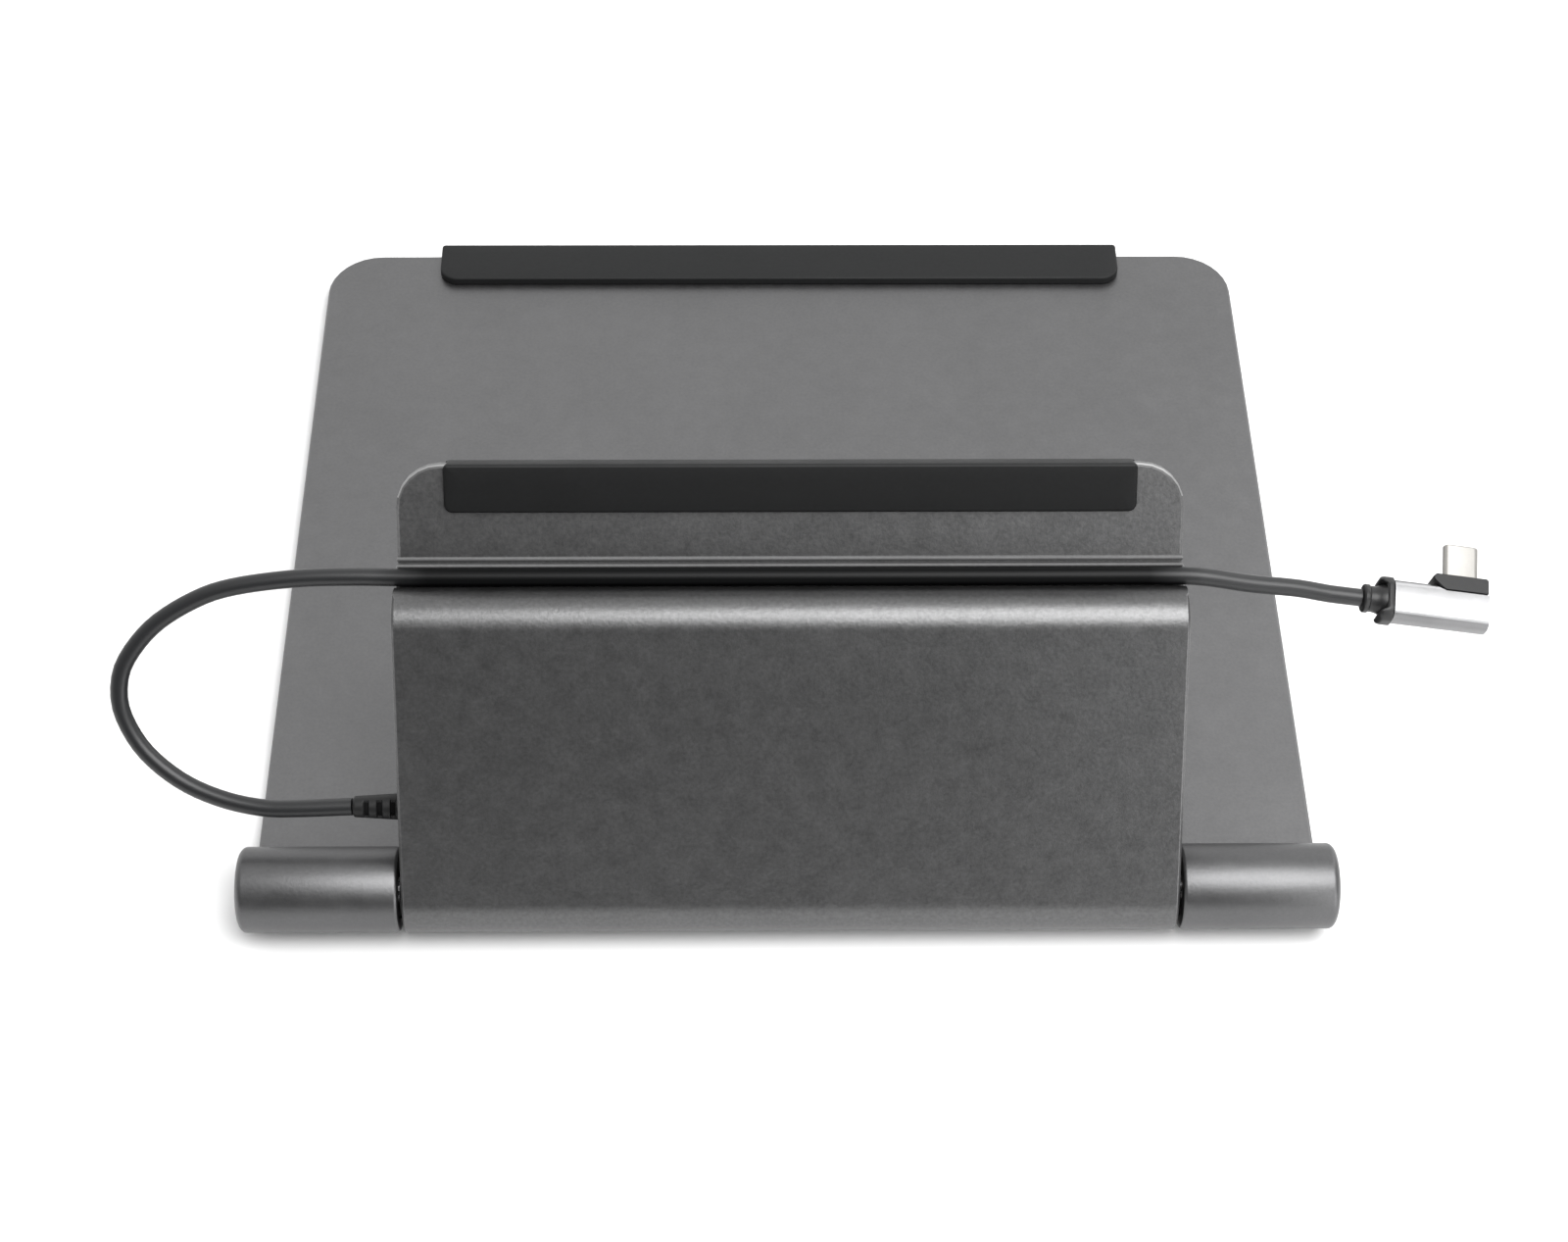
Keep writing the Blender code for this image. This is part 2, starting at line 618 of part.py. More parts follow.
# ---------------------------------------------------------------- cable and plug
def build_strain_relief():
    """A tapered sleeve with three grooves, which a spine along its upper side bridges."""
    core = CABLE_RADIUS + 0.0003
    lip = 0.00005
    profile = [(-0.0860, 0.0044, False), (-0.0886, 0.0044, False), (-0.08865, 0.0033, False)]
    for start, radius in ((-0.0934, 0.00325), (-0.0966, 0.00300), (-0.0998, 0.00275)):
        end = start - 0.0012
        profile.append((start, radius, False))
        profile.append((start - lip, radius, True))
        profile.append((end + lip, radius, True))
        profile.append((end, radius, False))
    profile += [(RELIEF_TIP + 0.0006, 0.0025, False), (RELIEF_TIP, 0.0023, False)]
    rings = []
    sides = 24
    for x, radius, grooved in profile:
        ring = []
        for i in range(sides):
            angle = 2 * math.pi * i / sides
            on_spine = math.cos(angle) > 0.80
            reach = radius if on_spine or not grooved else core
            along = RELIEF_ALONG + reach * math.cos(angle)
            ring.append((x, along, RELIEF_HEIGHT + reach * math.sin(angle)))
        rings.append(ring)
    lofted("cable_strain_relief", rings, LEG, BLACK_PLASTIC)


def smooth_curve(points, step):
    """Centripetal-like curve through the route points, read at a steady step along its length."""
    ends = [2 * points[0] - points[1]] + points + [2 * points[-1] - points[-2]]
    fine = []
    for before, start, end, after in zip(ends, ends[1:], ends[2:], ends[3:]):
        for i in range(24):
            t = i / 24
            fine.append(
                0.5
                * (
                    2 * start
                    + (end - before) * t
                    + (2 * before - 5 * start + 4 * end - after) * t * t
                    + (3 * start - before - 3 * end + after) * t * t * t
                )
            )
    fine.append(points[-1])
    lengths = [0.0]
    for start, end in zip(fine, fine[1:]):
        lengths.append(lengths[-1] + (end - start).length)
    count = round(lengths[-1] / step)
    even = []
    index = 0
    for i in range(count + 1):
        target = lengths[-1] * i / count
        while index < len(fine) - 2 and lengths[index + 1] < target:
            index += 1
        stretch = lengths[index + 1] - lengths[index]
        part = (target - lengths[index]) / stretch if stretch else 0.0
        even.append(fine[index].lerp(fine[index + 1], min(part, 1.0)))
    return even


def build_cable():
    # route in leg terms: across, along, height
    slot = (CABLE_SLOT_ALONG, CABLE_SLOT_HEIGHT)
    route = [
        (RELIEF_TIP - GAP, RELIEF_ALONG, RELIEF_HEIGHT),
        (-0.1167, 0.0212, 0.0016),
        (-0.1253, 0.0212, 0.0010),
        (-0.1353, 0.0233, 0.0002),
        (-0.1448, 0.0276, -0.0008),
        (-0.1529, 0.0346, -0.0018),
        (-0.1575, 0.0429, -0.0025),
        (-0.1583, 0.0500, -0.0028),
        (-0.1561, 0.0570, -0.0029),
        (-0.1492, 0.0653, -0.0027),
        (-0.1394, 0.0716, -0.0022),
        (-0.1301, 0.0749, -0.0017),
        (-0.1157, 0.0770, -0.0012),
        (-0.1022, 0.0775, -0.0009),
        (-0.0880, *slot),
        (-0.0600, *slot),
        (-0.0300, *slot),
        (0.0000, *slot),
        (0.0300, *slot),
        (0.0600, *slot),
        (0.0880, *slot),
        (0.0967, 0.0769, -0.0010),
        (0.1077, 0.0751, -0.0016),
        (0.1187, 0.0738, -0.0022),
    ]
    points = [Vector(point) for point in route]
    points += [PLUG_PLACE @ Vector((COLLAR_START - x, 0.0, 0.0)) for x in (0.0080, 0.0040, GAP)]
    even = smooth_curve(points, CABLE_POINT_STEP)
    curve = bpy.data.curves.new("cable", "CURVE")
    curve.dimensions = "3D"
    curve.bevel_depth = CABLE_RADIUS
    curve.bevel_resolution = 2
    curve.use_fill_caps = True
    spline = curve.splines.new("POLY")
    spline.points.add(len(even) - 1)
    for target, point in zip(spline.points, even):
        target.co = (*point, 1.0)
    add_object("cable", curve, CABLE_BLACK, LEG)


def plug_section(half_along, half_height, radius, steps=5):
    low = (-half_along, -half_height)
    high = (half_along, half_height)
    return rounded_rectangle(low, high, (radius,) * 4, 0.0, steps)


def insert_outline(offset=0.0):
    """Boat-shaped head of the plug in (across, along)."""
    return [
        (-0.0030 - offset, 0.0066 + offset),
        (-0.0028 - offset, 0.0058),
        (-0.0012 - offset, 0.0042 - offset),
        (0.0001, 0.0034 - offset),
        (0.0100 + offset, 0.0034 - offset),
        (0.0103 + offset, 0.0037),
        (0.0103 + offset, 0.0069),
        (0.0098 + offset, 0.0074 + offset),
        (-0.0022 - offset, 0.0074 + offset),
    ]


def build_plug():
    start = COLLAR_START
    collar = (
        (start, 0.0030),
        (start + 0.0004, 0.0034),
        (start + 0.0013, 0.0034),
        (start + 0.0016, 0.0031),
        (-0.0143, 0.0031),
    )
    turned("plug_collar", collar, PLUG, BLACK_PLASTIC, sides=24)
    section = plug_section(0.0056, 0.0039, 0.0031)
    flange = prism_x("plug_flange", section, -0.0156, -0.0124, PLUG, BLACK_PLASTIC)
    cut(flange, box("flange_waist", (-0.0160, -0.0034, -0.0050), (-0.0140, 0.0034, 0.0050), PLUG, None))
    shell = prism_x("plug_shell", plug_section(0.0050, 0.0035, 0.0026), -0.0121, 0.0104, PLUG, BARE_ALUMINIUM)
    notch = []
    for height in (-0.0050, 0.0050):
        notch.append([(a, b, height) for a, b in insert_outline(GAP)])
    cut(shell, lofted("plug_notch", notch, PLUG, None))
    head = []
    for height, shrink in ((-0.0033, -0.0002), (-0.0030, 0.0), (0.0030, 0.0), (0.0033, -0.0002)):
        head.append([(a, b, height) for a, b in insert_outline(shrink)])
    lofted("plug_head", head, PLUG, BLACK_PLASTIC)
    centre = 0.0042
    rings = []
    for along, shrink in ((0.0077, 0.0), (0.01575, 0.0), (0.0161, 0.0003)):
        low = (centre - 0.00415 + shrink, -0.00125 + shrink)
        high = (centre + 0.00415 - shrink, 0.00125 - shrink)
        outline = rounded_rectangle(low, high, (0.0012 - shrink,) * 4, 0.0, 6)
        rings.append([(a, along, b) for a, b in outline])
    tongue = lofted("plug_contact_shell", rings, PLUG, BARE_ALUMINIUM)
    rings = []
    for along in (0.0090, 0.0170):
        low = (centre - 0.00365, -0.00078)
        high = (centre + 0.00365, 0.00078)
        outline = rounded_rectangle(low, high, (0.00070,) * 4, 0.0, 6)
        rings.append([(a, along, b) for a, b in outline])
    cut(tongue, lofted("contact_pocket", rings, PLUG, None))


def main():
    clear_scene()
    add_frames()
    build_plate()
    for side, sign in (("left", -1), ("right", 1)):
        build_barrel(side, sign)
        build_end_cap(side, sign)
        build_hinge(side, sign)
    build_far_edge_rubber()
    build_pads()
    build_leg_shell()
    build_back_cover()
    build_lip()
    build_lip_rubber()
    build_board()
    build_end_covers()
    for port in PORTS:
        build_port(port)
    build_strain_relief()
    build_cable()
    build_plug()


main()
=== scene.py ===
"""Looks for the folding laptop cooling pad: camera, cable, rubber edgings, plug, screws, finishes, light."""

import math

import bmesh
import bpy
from mathutils import Matrix, Vector


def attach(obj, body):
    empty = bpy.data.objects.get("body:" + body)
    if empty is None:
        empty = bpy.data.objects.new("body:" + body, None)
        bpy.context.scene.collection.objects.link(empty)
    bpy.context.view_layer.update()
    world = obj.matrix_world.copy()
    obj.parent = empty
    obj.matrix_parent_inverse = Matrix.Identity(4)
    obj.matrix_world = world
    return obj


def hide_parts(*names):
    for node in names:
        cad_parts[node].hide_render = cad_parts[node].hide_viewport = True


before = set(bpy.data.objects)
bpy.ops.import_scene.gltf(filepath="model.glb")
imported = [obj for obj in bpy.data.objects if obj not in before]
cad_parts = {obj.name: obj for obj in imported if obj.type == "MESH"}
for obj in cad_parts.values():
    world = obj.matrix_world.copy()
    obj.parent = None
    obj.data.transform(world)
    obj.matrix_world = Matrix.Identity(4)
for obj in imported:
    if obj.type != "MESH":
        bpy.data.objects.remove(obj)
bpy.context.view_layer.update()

# ---------------------------------------------------------------- dimensions shared with the CAD, metres
GAP = 0.0003
HINGE_Y = -0.10965
HINGE_HEIGHT = 0.0118
LEG_ANGLE = math.radians(56.3)
LEG_SHIFT = 0.0005
PLATE_LOW = -0.0100              # plate faces and far edge, from the hinge axis
PLATE_HIGH = -0.0065
PLATE_FAR_Y = 0.2274
FAR_RUBBER_HALF = 0.0977         # strip over the plate's far edge
FAR_RUBBER_START = 0.2153
FAR_RUBBER_OVERHANG = 0.0022
FAR_RUBBER_HEIGHT = 0.0025
PAD_ALONG = (0.0330, 0.0420)     # pads under the plate: span along Y, and along X on the right
PAD_ACROSS = (0.0480, 0.1180)
PAD_CORNER = 0.0044
LEG_BACK = -0.0062               # leg's back and channel floor, in leg terms
CHANNEL_FLOOR = -0.0032
LIP_END = 0.1036
LIP_CORNER = 0.0105
RIDGE_END = 0.0816               # second bead along the lip plate
LIP_WIDTH = 0.1834
LIP_RUBBER_HALF = 0.0804
LIP_RUBBER_START = 0.0924
LIP_RUBBER_OVERHANG = 0.0004
LIP_RUBBER_HEIGHT = 0.0016       # above the lip, and the depth below it
LIP_RUBBER_DEPTH = 0.0015
CABLE_RADIUS = 0.0021
RELIEF_ALONG = 0.0218            # strain relief's centre line and free end, in leg terms
RELIEF_HEIGHT = 0.00205
RELIEF_TIP = -0.1036
PLUG_CENTRE = (0.1532, 0.0688, -0.0025)
COLLAR_START = -0.0192           # collar's free end, from the plug's centre

BARREL_SCREWS = (0.1010, 0.1195)
BARREL_SCREW_ALONG = 0.0160
COVER_SCREWS = ((-0.0848, 0.0181), (0.0848, 0.0181), (-0.0848, 0.0549), (0.0848, 0.0549))
LIP_SCREWS = (-0.0750, -0.0250, 0.0250, 0.0750)
LIP_SCREW_ALONG = 0.0680

BASE = Matrix.Translation((0.0, HINGE_Y, HINGE_HEIGHT))
LEG = BASE @ Matrix.Translation((LEG_SHIFT, 0.0, 0.0)) @ Matrix.Rotation(LEG_ANGLE, 4, "X")
PLUG = (
    LEG
    @ Matrix.Translation(PLUG_CENTRE)
    @ Matrix.Rotation(math.radians(-7.5), 4, "Z")
    @ Matrix.Rotation(math.radians(18.0) - LEG_ANGLE, 4, "X")
)


# ---------------------------------------------------------------- camera
CAMERA_PLACE = (-0.0099, -0.52125, 0.6034)
CAMERA_PITCH = math.radians(50.068)      # below the horizon
CAMERA_YAW = math.radians(1.126)         # to the right of +Y
CAMERA_ROLL = math.radians(-0.706)
SENSOR_WIDTH = 36.0
LENS = 68.625


def make_camera():
    pitch, yaw, roll = CAMERA_PITCH, CAMERA_YAW, CAMERA_ROLL
    level = math.cos(pitch)
    ahead = Vector((math.sin(yaw) * level, math.cos(yaw) * level, -math.sin(pitch)))
    right = Vector((math.cos(yaw), -math.sin(yaw), 0.0))
    down = ahead.cross(right)
    across = math.cos(roll) * right + math.sin(roll) * down
    up = math.sin(roll) * right - math.cos(roll) * down
    turn = Matrix((across, up, -ahead)).transposed()
    data = bpy.data.cameras.new("camera")
    data.sensor_width = SENSOR_WIDTH
    data.lens = LENS
    data.clip_start = 0.01
    data.clip_end = 50.0
    camera = bpy.data.objects.new("camera", data)
    bpy.context.scene.collection.objects.link(camera)
    camera.matrix_world = Matrix.Translation(CAMERA_PLACE) @ turn.to_4x4()
    bpy.context.scene.camera = camera


make_camera()


# ---------------------------------------------------------------- finishes
def links(material):
    """A function that joins an output to an input in the material's node tree."""
    tree = material.node_tree

    def join(source, output, target, socket):
        tree.links.new(source.outputs[output], target.inputs[socket])

    return join


def new_material(name, colour, roughness, metallic=0.0, specular=0.5):
    material = bpy.data.materials.new(name)
    material.use_nodes = True
    shader = material.node_tree.nodes["Principled BSDF"]
    shader.inputs["Base Color"].default_value = (*colour, 1.0)
    shader.inputs["Roughness"].default_value = roughness
    shader.inputs["Metallic"].default_value = metallic
    shader.inputs["Specular IOR Level"].default_value = specular
    return material, shader


def add_node(material, kind, **settings):
    node = material.node_tree.nodes.new(kind)
    for key, value in settings.items():
        if hasattr(node, key):
            setattr(node, key, value)
        else:
            node.inputs[key.replace("_", " ")].default_value = value
    return node


def noise_node(material, place, scale, detail=2.0, roughness=0.5):
    node = add_node(material, "ShaderNodeTexNoise", Scale=scale, Detail=detail)
    node.inputs["Roughness"].default_value = roughness
    links(material)(place, "Object", node, "Vector")
    return node


def ramp(material, source, output, low, high, out_low, out_high):
    node = add_node(material, "ShaderNodeMapRange")
    node.inputs["From Min"].default_value = low
    node.inputs["From Max"].default_value = high
    node.inputs["To Min"].default_value = out_low
    node.inputs["To Max"].default_value = out_high
    links(material)(source, output, node, "Value")
    return node


def spread(material, noise, low, high):
    """The range where most of a noise lies, stretched to low and high."""
    return ramp(material, noise, "Fac", 0.30, 0.70, low, high)


def tinted(material, shader, colour, factor, out="Result"):
    """Base colour times a factor that varies over the surface."""
    node = material.node_tree.nodes.new("ShaderNodeVectorMath")
    node.operation = "SCALE"
    node.inputs[0].default_value = colour
    links(material)(factor, out, node, "Scale")
    links(material)(node, "Vector", shader, "Base Color")


def multiply(material, first, second, first_out="Result"):
    """Product of two factors, the second of them a ramp."""
    node = material.node_tree.nodes.new("ShaderNodeMath")
    node.operation = "MULTIPLY"
    links(material)(first, first_out, node, 0)
    links(material)(second, "Result", node, 1)
    return node


def add_bump(material, shader, height, depth):
    node = material.node_tree.nodes.new("ShaderNodeBump")
    node.inputs["Strength"].default_value = 1.0
    node.inputs["Distance"].default_value = depth
    join = links(material)
    join(height, "Fac", node, "Height")
    join(node, "Normal", shader, "Normal")


def edge_mask(material, radius, soft):
    """0 on flat faces, towards 1 within the radius of an edge."""
    tree = material.node_tree
    bevel = tree.nodes.new("ShaderNodeBevel")
    bevel.samples = 6
    bevel.inputs["Radius"].default_value = radius
    here = tree.nodes.new("ShaderNodeNewGeometry")
    dot = tree.nodes.new("ShaderNodeVectorMath")
    dot.operation = "DOT_PRODUCT"
    join = links(material)
    join(bevel, "Normal", dot, 0)
    join(here, "Normal", dot, 1)
    return ramp(material, dot, "Value", 1.0, soft, 0.0, 1.0)


def blasted_metal(name, colour, roughness, grain=0.05, depth=0.00004, edge_lift=0.5, scale=1150.0):
    """Bead-blasted, anodised aluminium: fine grain, faint clouding, edges a little lighter."""
    material, shader = new_material(name, colour, roughness, 1.0)
    place = add_node(material, "ShaderNodeTexCoord")
    fine = noise_node(material, place, scale, 3.0, 0.65)
    cloud = noise_node(material, place, 230.0, 4.0, 0.65)
    broad = noise_node(material, place, 45.0, 3.0, 0.6)
    speckle = spread(material, fine, 1.0 - grain, 1.0 + grain)
    clouding = spread(material, cloud, 0.965, 1.035)
    staining = spread(material, broad, 0.97, 1.03)
    shade = multiply(material, speckle, clouding)
    shade = multiply(material, shade, staining, "Value")
    edge = edge_mask(material, 0.0004, 0.93)
    # edges within the bevel radius made lighter, by up to the given factor
    lift = ramp(material, edge, "Result", 0.0, 1.0, 1.0, 1.0 + edge_lift)
    shade = multiply(material, shade, lift, "Value")
    tinted(material, shader, colour, shade, "Value")
    rough = spread(material, cloud, roughness - 0.025, roughness + 0.025)
    links(material)(rough, "Result", shader, "Roughness")
    add_bump(material, shader, fine, depth)
    return material


def moulded(name, colour, roughness, depth=0.00003, specular=0.5):
    """Moulded rubber or plastic: fine texture and slight tone variation."""
    material, shader = new_material(name, colour, roughness, 0.0, specular)
    place = add_node(material, "ShaderNodeTexCoord")
    fine = noise_node(material, place, 900.0, 3.0, 0.6)
    cloud = noise_node(material, place, 60.0, 3.0, 0.6)
    speckle = spread(material, fine, 0.88, 1.12)
    clouding = spread(material, cloud, 0.92, 1.08)
    shade = multiply(material, speckle, clouding)
    tinted(material, shader, colour, shade, "Value")
    rough = spread(material, cloud, roughness - 0.05, roughness + 0.05)
    links(material)(rough, "Result", shader, "Roughness")
    add_bump(material, shader, fine, depth)
    return material


def machined(name, colour, roughness):
    """Machined or plated metal: very fine texture and slight stain variation."""
    material, shader = new_material(name, colour, roughness, 1.0)
    place = add_node(material, "ShaderNodeTexCoord")
    fine = noise_node(material, place, 2200.0)
    cloud = noise_node(material, place, 90.0, 3.0, 0.6)
    clouding = spread(material, cloud, 0.93, 1.06)
    tinted(material, shader, colour, clouding)
    rough = spread(material, fine, roughness - 0.06, roughness + 0.06)
    links(material)(rough, "Result", shader, "Roughness")
    add_bump(material, shader, fine, 0.000004)
    return material


def cut_rim_and_highlight():
    """Bright cut along the outer half of the lip plate's chamfer, anodised like the lip inside it; partly a
    painted highlight, as it is kept to the chamfer faces turned up towards the light.
    """
    colour = (0.40, 0.40, 0.40)
    material, shader = new_material("cut_rim_and_highlight", colour, 0.38, 1.0)
    place = add_node(material, "ShaderNodeTexCoord")
    up = LEG.to_3x3() @ Vector((0.0, 0.0, 1.0))
    height = add_node(material, "ShaderNodeVectorMath")
    height.operation = "DOT_PRODUCT"
    height.inputs[1].default_value = up
    links(material)(place, "Object", height, 0)
    rim = LEG.translation.dot(up) + CHANNEL_FLOOR
    bright_below, dull_above = rim - 0.00042, rim - 0.00030
    # painted highlight in part: the bright band is narrowed to the chamfer's outer half
    cut = ramp(material, height, "Value", bright_below, dull_above, 1.0, 0.40)
    cloud = noise_node(material, place, 90.0, 3.0, 0.6)
    clouding = spread(material, cloud, 0.93, 1.06)
    shade = multiply(material, cut, clouding)
    tinted(material, shader, colour, shade, "Value")
    fine = noise_node(material, place, 1000.0, 3.0, 0.65)
    add_bump(material, shader, fine, 0.00003)
    return material


def cable_jacket():
    """Satin jacket with painted shade along the groove, darker and less glossy there, changing over a short
    way at the leg's two ends.
    """
    groove_end, open_start = 0.084, 0.097
    colour = (0.0080, 0.0084, 0.0092)
    material, shader = new_material("cable_jacket", colour, 0.33, 0.0, 0.45)
    place = add_node(material, "ShaderNodeTexCoord")
    fine = noise_node(material, place, 1400.0, 3.0, 0.6)
    speckle = spread(material, fine, 0.90, 1.10)
    join = links(material)
    split = add_node(material, "ShaderNodeSeparateXYZ")
    join(place, "Object", split, "Vector")
    across = add_node(material, "ShaderNodeMath")
    across.operation = "ABSOLUTE"
    join(split, "X", across, 0)
    # Painted shade: the cable's run in the channel is darkened to a fifth and its gloss lowered.
    painted_groove_shade = ramp(material, across, "Value", groove_end, open_start, 0.22, 1.1)
    shade = multiply(material, speckle, painted_groove_shade)
    tinted(material, shader, colour, shade, "Value")
    groove_shaded_gloss = ramp(material, across, "Value", groove_end, open_start, 0.15, 0.52)
    join(groove_shaded_gloss, "Result", shader, "Specular IOR Level")
    rough = ramp(material, across, "Value", groove_end, open_start, 0.42, 0.40)
    join(rough, "Result", shader, "Roughness")
    add_bump(material, shader, fine, 0.000008)
    return material


METAL = blasted_metal("anodised_grey", (0.158, 0.158, 0.160), 0.42)
TUBE_METAL = blasted_metal("anodised_tube", (0.125, 0.125, 0.127), 0.42)
LEG_METAL = blasted_metal("anodised_leg", (0.128, 0.128, 0.129), 0.40, 0.13, 0.00005, 0.9, 1000.0)
LIP_METAL = blasted_metal("anodised_lip", (0.150, 0.150, 0.151), 0.42, 0.15, 0.00005, 0.5, 1000.0)
RIM_CUT_AND_HIGHLIGHT = cut_rim_and_highlight()
# Lighter copy of the lip's anodising for the beads: painted highlight.
BEAD_HIGHLIGHT_METAL = blasted_metal("anodised_bead_highlight", (0.215, 0.215, 0.216), 0.78, 0.08, 0.00002, 0.1, 1000.0)
BRIGHT = machined("satin_aluminium", (0.42, 0.42, 0.425), 0.34)
# Darker copy of the satin aluminium for the plug shell's sides: painted shade.
SHADED_SIDE_BRIGHT = machined("satin_sides_painted_shade", (0.21, 0.21, 0.213), 0.36)
NICKEL = machined("nickel_plate", (0.375, 0.366, 0.348), 0.44)
STEEL = machined("zinc_steel", (0.50, 0.50, 0.51), 0.28)
DARK_STEEL = machined("oiled_steel", (0.10, 0.10, 0.105), 0.38)
BRONZE = machined("sintered_bronze", (0.46, 0.29, 0.14), 0.40)
GOLD = machined("contact_gold", (0.83, 0.60, 0.25), 0.28)
# The lip strip's rubber: a darker, less glossy copy of the strip rubber, painted shade.
SHADED_LIP_RUBBER = moulded("lip_rubber", (0.0035, 0.0037, 0.0039), 0.60, specular=0.20)
RUBBER = moulded("moulded_rubber", (0.0070, 0.0074, 0.0077), 0.60, specular=0.30)
PLASTIC = moulded("black_plastic", (0.0100, 0.0100, 0.0105), 0.42, depth=0.00002, specular=0.4)
CABLE_SKIN = cable_jacket()
RELIEF_PLASTIC = moulded("relief_moulding", (0.0060, 0.0060, 0.0063), 0.50, specular=0.35)
# Near-black material for the relief's grooves: painted shade.
GROOVE_SHADE = moulded("relief_groove_painted_shade", (0.0025, 0.0025, 0.0026), 0.80, specular=0.10)
EPOXY = moulded("chip_epoxy", (0.018, 0.018, 0.019), 0.55)
SOLDER_MASK = moulded("solder_mask", (0.012, 0.085, 0.040), 0.38)
SILICONE = moulded("thermal_silicone", (0.30, 0.33, 0.38), 0.75)

FINISHES = (
    (METAL, ("base_plate",)),
    (TUBE_METAL, ("hinge_barrel", "hinge_end_cap")),
    (LEG_METAL, ("leg_shell", "leg_back_cover")),
    (LIP_METAL, ("lip_plate",)),
    (RUBBER, ("far_edge_rubber", "underside_pad")),
    (SHADED_LIP_RUBBER, ("lip_rubber",)),
    (PLASTIC, ("leg_end_cover", "hinge_washer", "plug_flange", "plug_collar", "plug_head", "cable_strain")),
    (NICKEL, ("plug_contact",)),
    (STEEL, ("cover_screw", "lip_screw", "barrel_screw", "hinge_shaft")),
    (BRONZE, ("hinge_insert",)),
    (DARK_STEEL, ("friction_sleeve",)),
    (BRIGHT, ("hdmi_port", "usb_c_power_port", "card_slot", "usb_a_port", "plug_shell")),
    (SOLDER_MASK, ("hub_board",)),
    (EPOXY, ("hub_controller_chip", "card_reader_chip", "video_chip")),
    (SILICONE, ("thermal_pad",)),
    (CABLE_SKIN, ("cable",)),
)


def finish_of(name):
    for material, starts in FINISHES:
        if name.startswith(starts):
            return material
    raise ValueError("no finish for " + name)


for name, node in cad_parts.items():
    for slot in node.material_slots:
        slot.material = finish_of(name)


# ---------------------------------------------------------------- skins: CAD shapes with eased edges
SMOOTH_ANGLE = math.radians(30.0)
FLAT_ANGLE = math.radians(0.4)
WELD = 0.000002


def finished_piece(name, mesh, material, body, nodes, ease=0.0):
    """A mesh in the row frame as a piece that rides on a body and stands for CAD nodes."""
    for polygon in mesh.polygons:
        polygon.use_smooth = True
    mesh.set_sharp_from_angle(angle=SMOOTH_ANGLE)
    piece = bpy.data.objects.new(name, mesh)
    bpy.context.scene.collection.objects.link(piece)
    mesh.materials.append(material)
    if ease:
        bevel = piece.modifiers.new("eased_edges", "BEVEL")
        bevel.limit_method = "ANGLE"
        bevel.angle_limit = SMOOTH_ANGLE
        bevel.width = ease
        bevel.segments = 2
        bevel.harden_normals = True
    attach(piece, body)
    if nodes:
        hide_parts(*nodes)
    return piece


def skin(node, body, ease):
    """The CAD node's own shape, with its flat faces whole again and its edges eased."""
    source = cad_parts[node].data
    shape = bmesh.new()
    shape.from_mesh(source)
    bmesh.ops.remove_doubles(shape, verts=shape.verts, dist=WELD)
    bmesh.ops.dissolve_limit(shape, angle_limit=FLAT_ANGLE, verts=shape.verts, edges=shape.edges)
    points = [vertex.co.copy() for vertex in shape.verts]
    shape.verts.index_update()
    faces = [[vertex.index for vertex in face.verts] for face in shape.faces]
    shape.free()
    mesh = bpy.data.meshes.new(node + "_skin")
    mesh.from_pydata(points, [], faces)
    mesh.validate()
    return finished_piece(node + "_skin", mesh, finish_of(node), body, [node], ease)


# body, width of the eased edges, nodes
SKINS = (
    ("base", 0.00015, ("base_plate",)),
    ("base", 0.00010, ("hinge_barrel_left", "hinge_barrel_right")),
    ("base", 0.00010, ("hinge_end_cap_left", "hinge_end_cap_right")),
    ("leg", 0.00015, ("leg_shell", "leg_back_cover", "lip_plate")),
    ("leg", 0.00012, ("leg_end_cover_left", "leg_end_cover_right", "plug_head")),
    ("leg", 0.00008, ("hdmi_port", "usb_c_power_port", "card_slot", "usb_a_port_1", "usb_a_port_2")),
    ("leg", 0.00025, ("plug_shell",)),
    ("leg", 0.00008, ("plug_contact_shell",)),
)
for body, ease, nodes in SKINS:
    for node in nodes:
        skin(node, body, ease)


def recoat(piece, place, material, test):
    """Second material on the faces that pass the test, given centre and normal in place's terms; here it
    lays painted highlight and painted shade.
    """
    mesh = bpy.data.objects[piece].data
    mesh.materials.append(material)
    index = len(mesh.materials) - 1
    back = place.inverted()
    turn = back.to_3x3()
    for polygon in mesh.polygons:
        if test(back @ polygon.center, turn @ polygon.normal):
            polygon.material_index = index


def on_lit_lip_chamfer(centre, facing):
    """The lip plate's chamfer round its two corners and along its end is cut bright: only the faces turned
    up towards the light, so the bright cut there is partly a painted highlight.
    """
    outside = abs(centre.x) > LIP_WIDTH / 2 - LIP_CORNER or centre.y > LIP_END - LIP_CORNER
    return outside and centre.y > RIDGE_END + 0.0005 and 0.3 < facing.z < 0.9 and facing.y > 0.12


def on_lit_bead(centre, facing):
    """The two half-round beads at the lip plate's near edge, in a lighter copy of the anodising: painted
    highlight.
    """
    return centre.y < RIDGE_END + 0.0001 and centre.z > -0.0040 and facing.z > -0.1


def on_shaded_plug_side(centre, facing):
    """All of the plug shell but its upper face: a darker copy of the satin aluminium, painted shade."""
    return facing.z < 0.80


# Painted highlight on the lip plate's chamfer and beads; painted shade on the plug shell's sides.
recoat("lip_plate_skin", LEG, RIM_CUT_AND_HIGHLIGHT, on_lit_lip_chamfer)
recoat("lip_plate_skin", LEG, BEAD_HIGHLIGHT_METAL, on_lit_bead)
recoat("plug_shell_skin", PLUG, SHADED_SIDE_BRIGHT, on_shaded_plug_side)


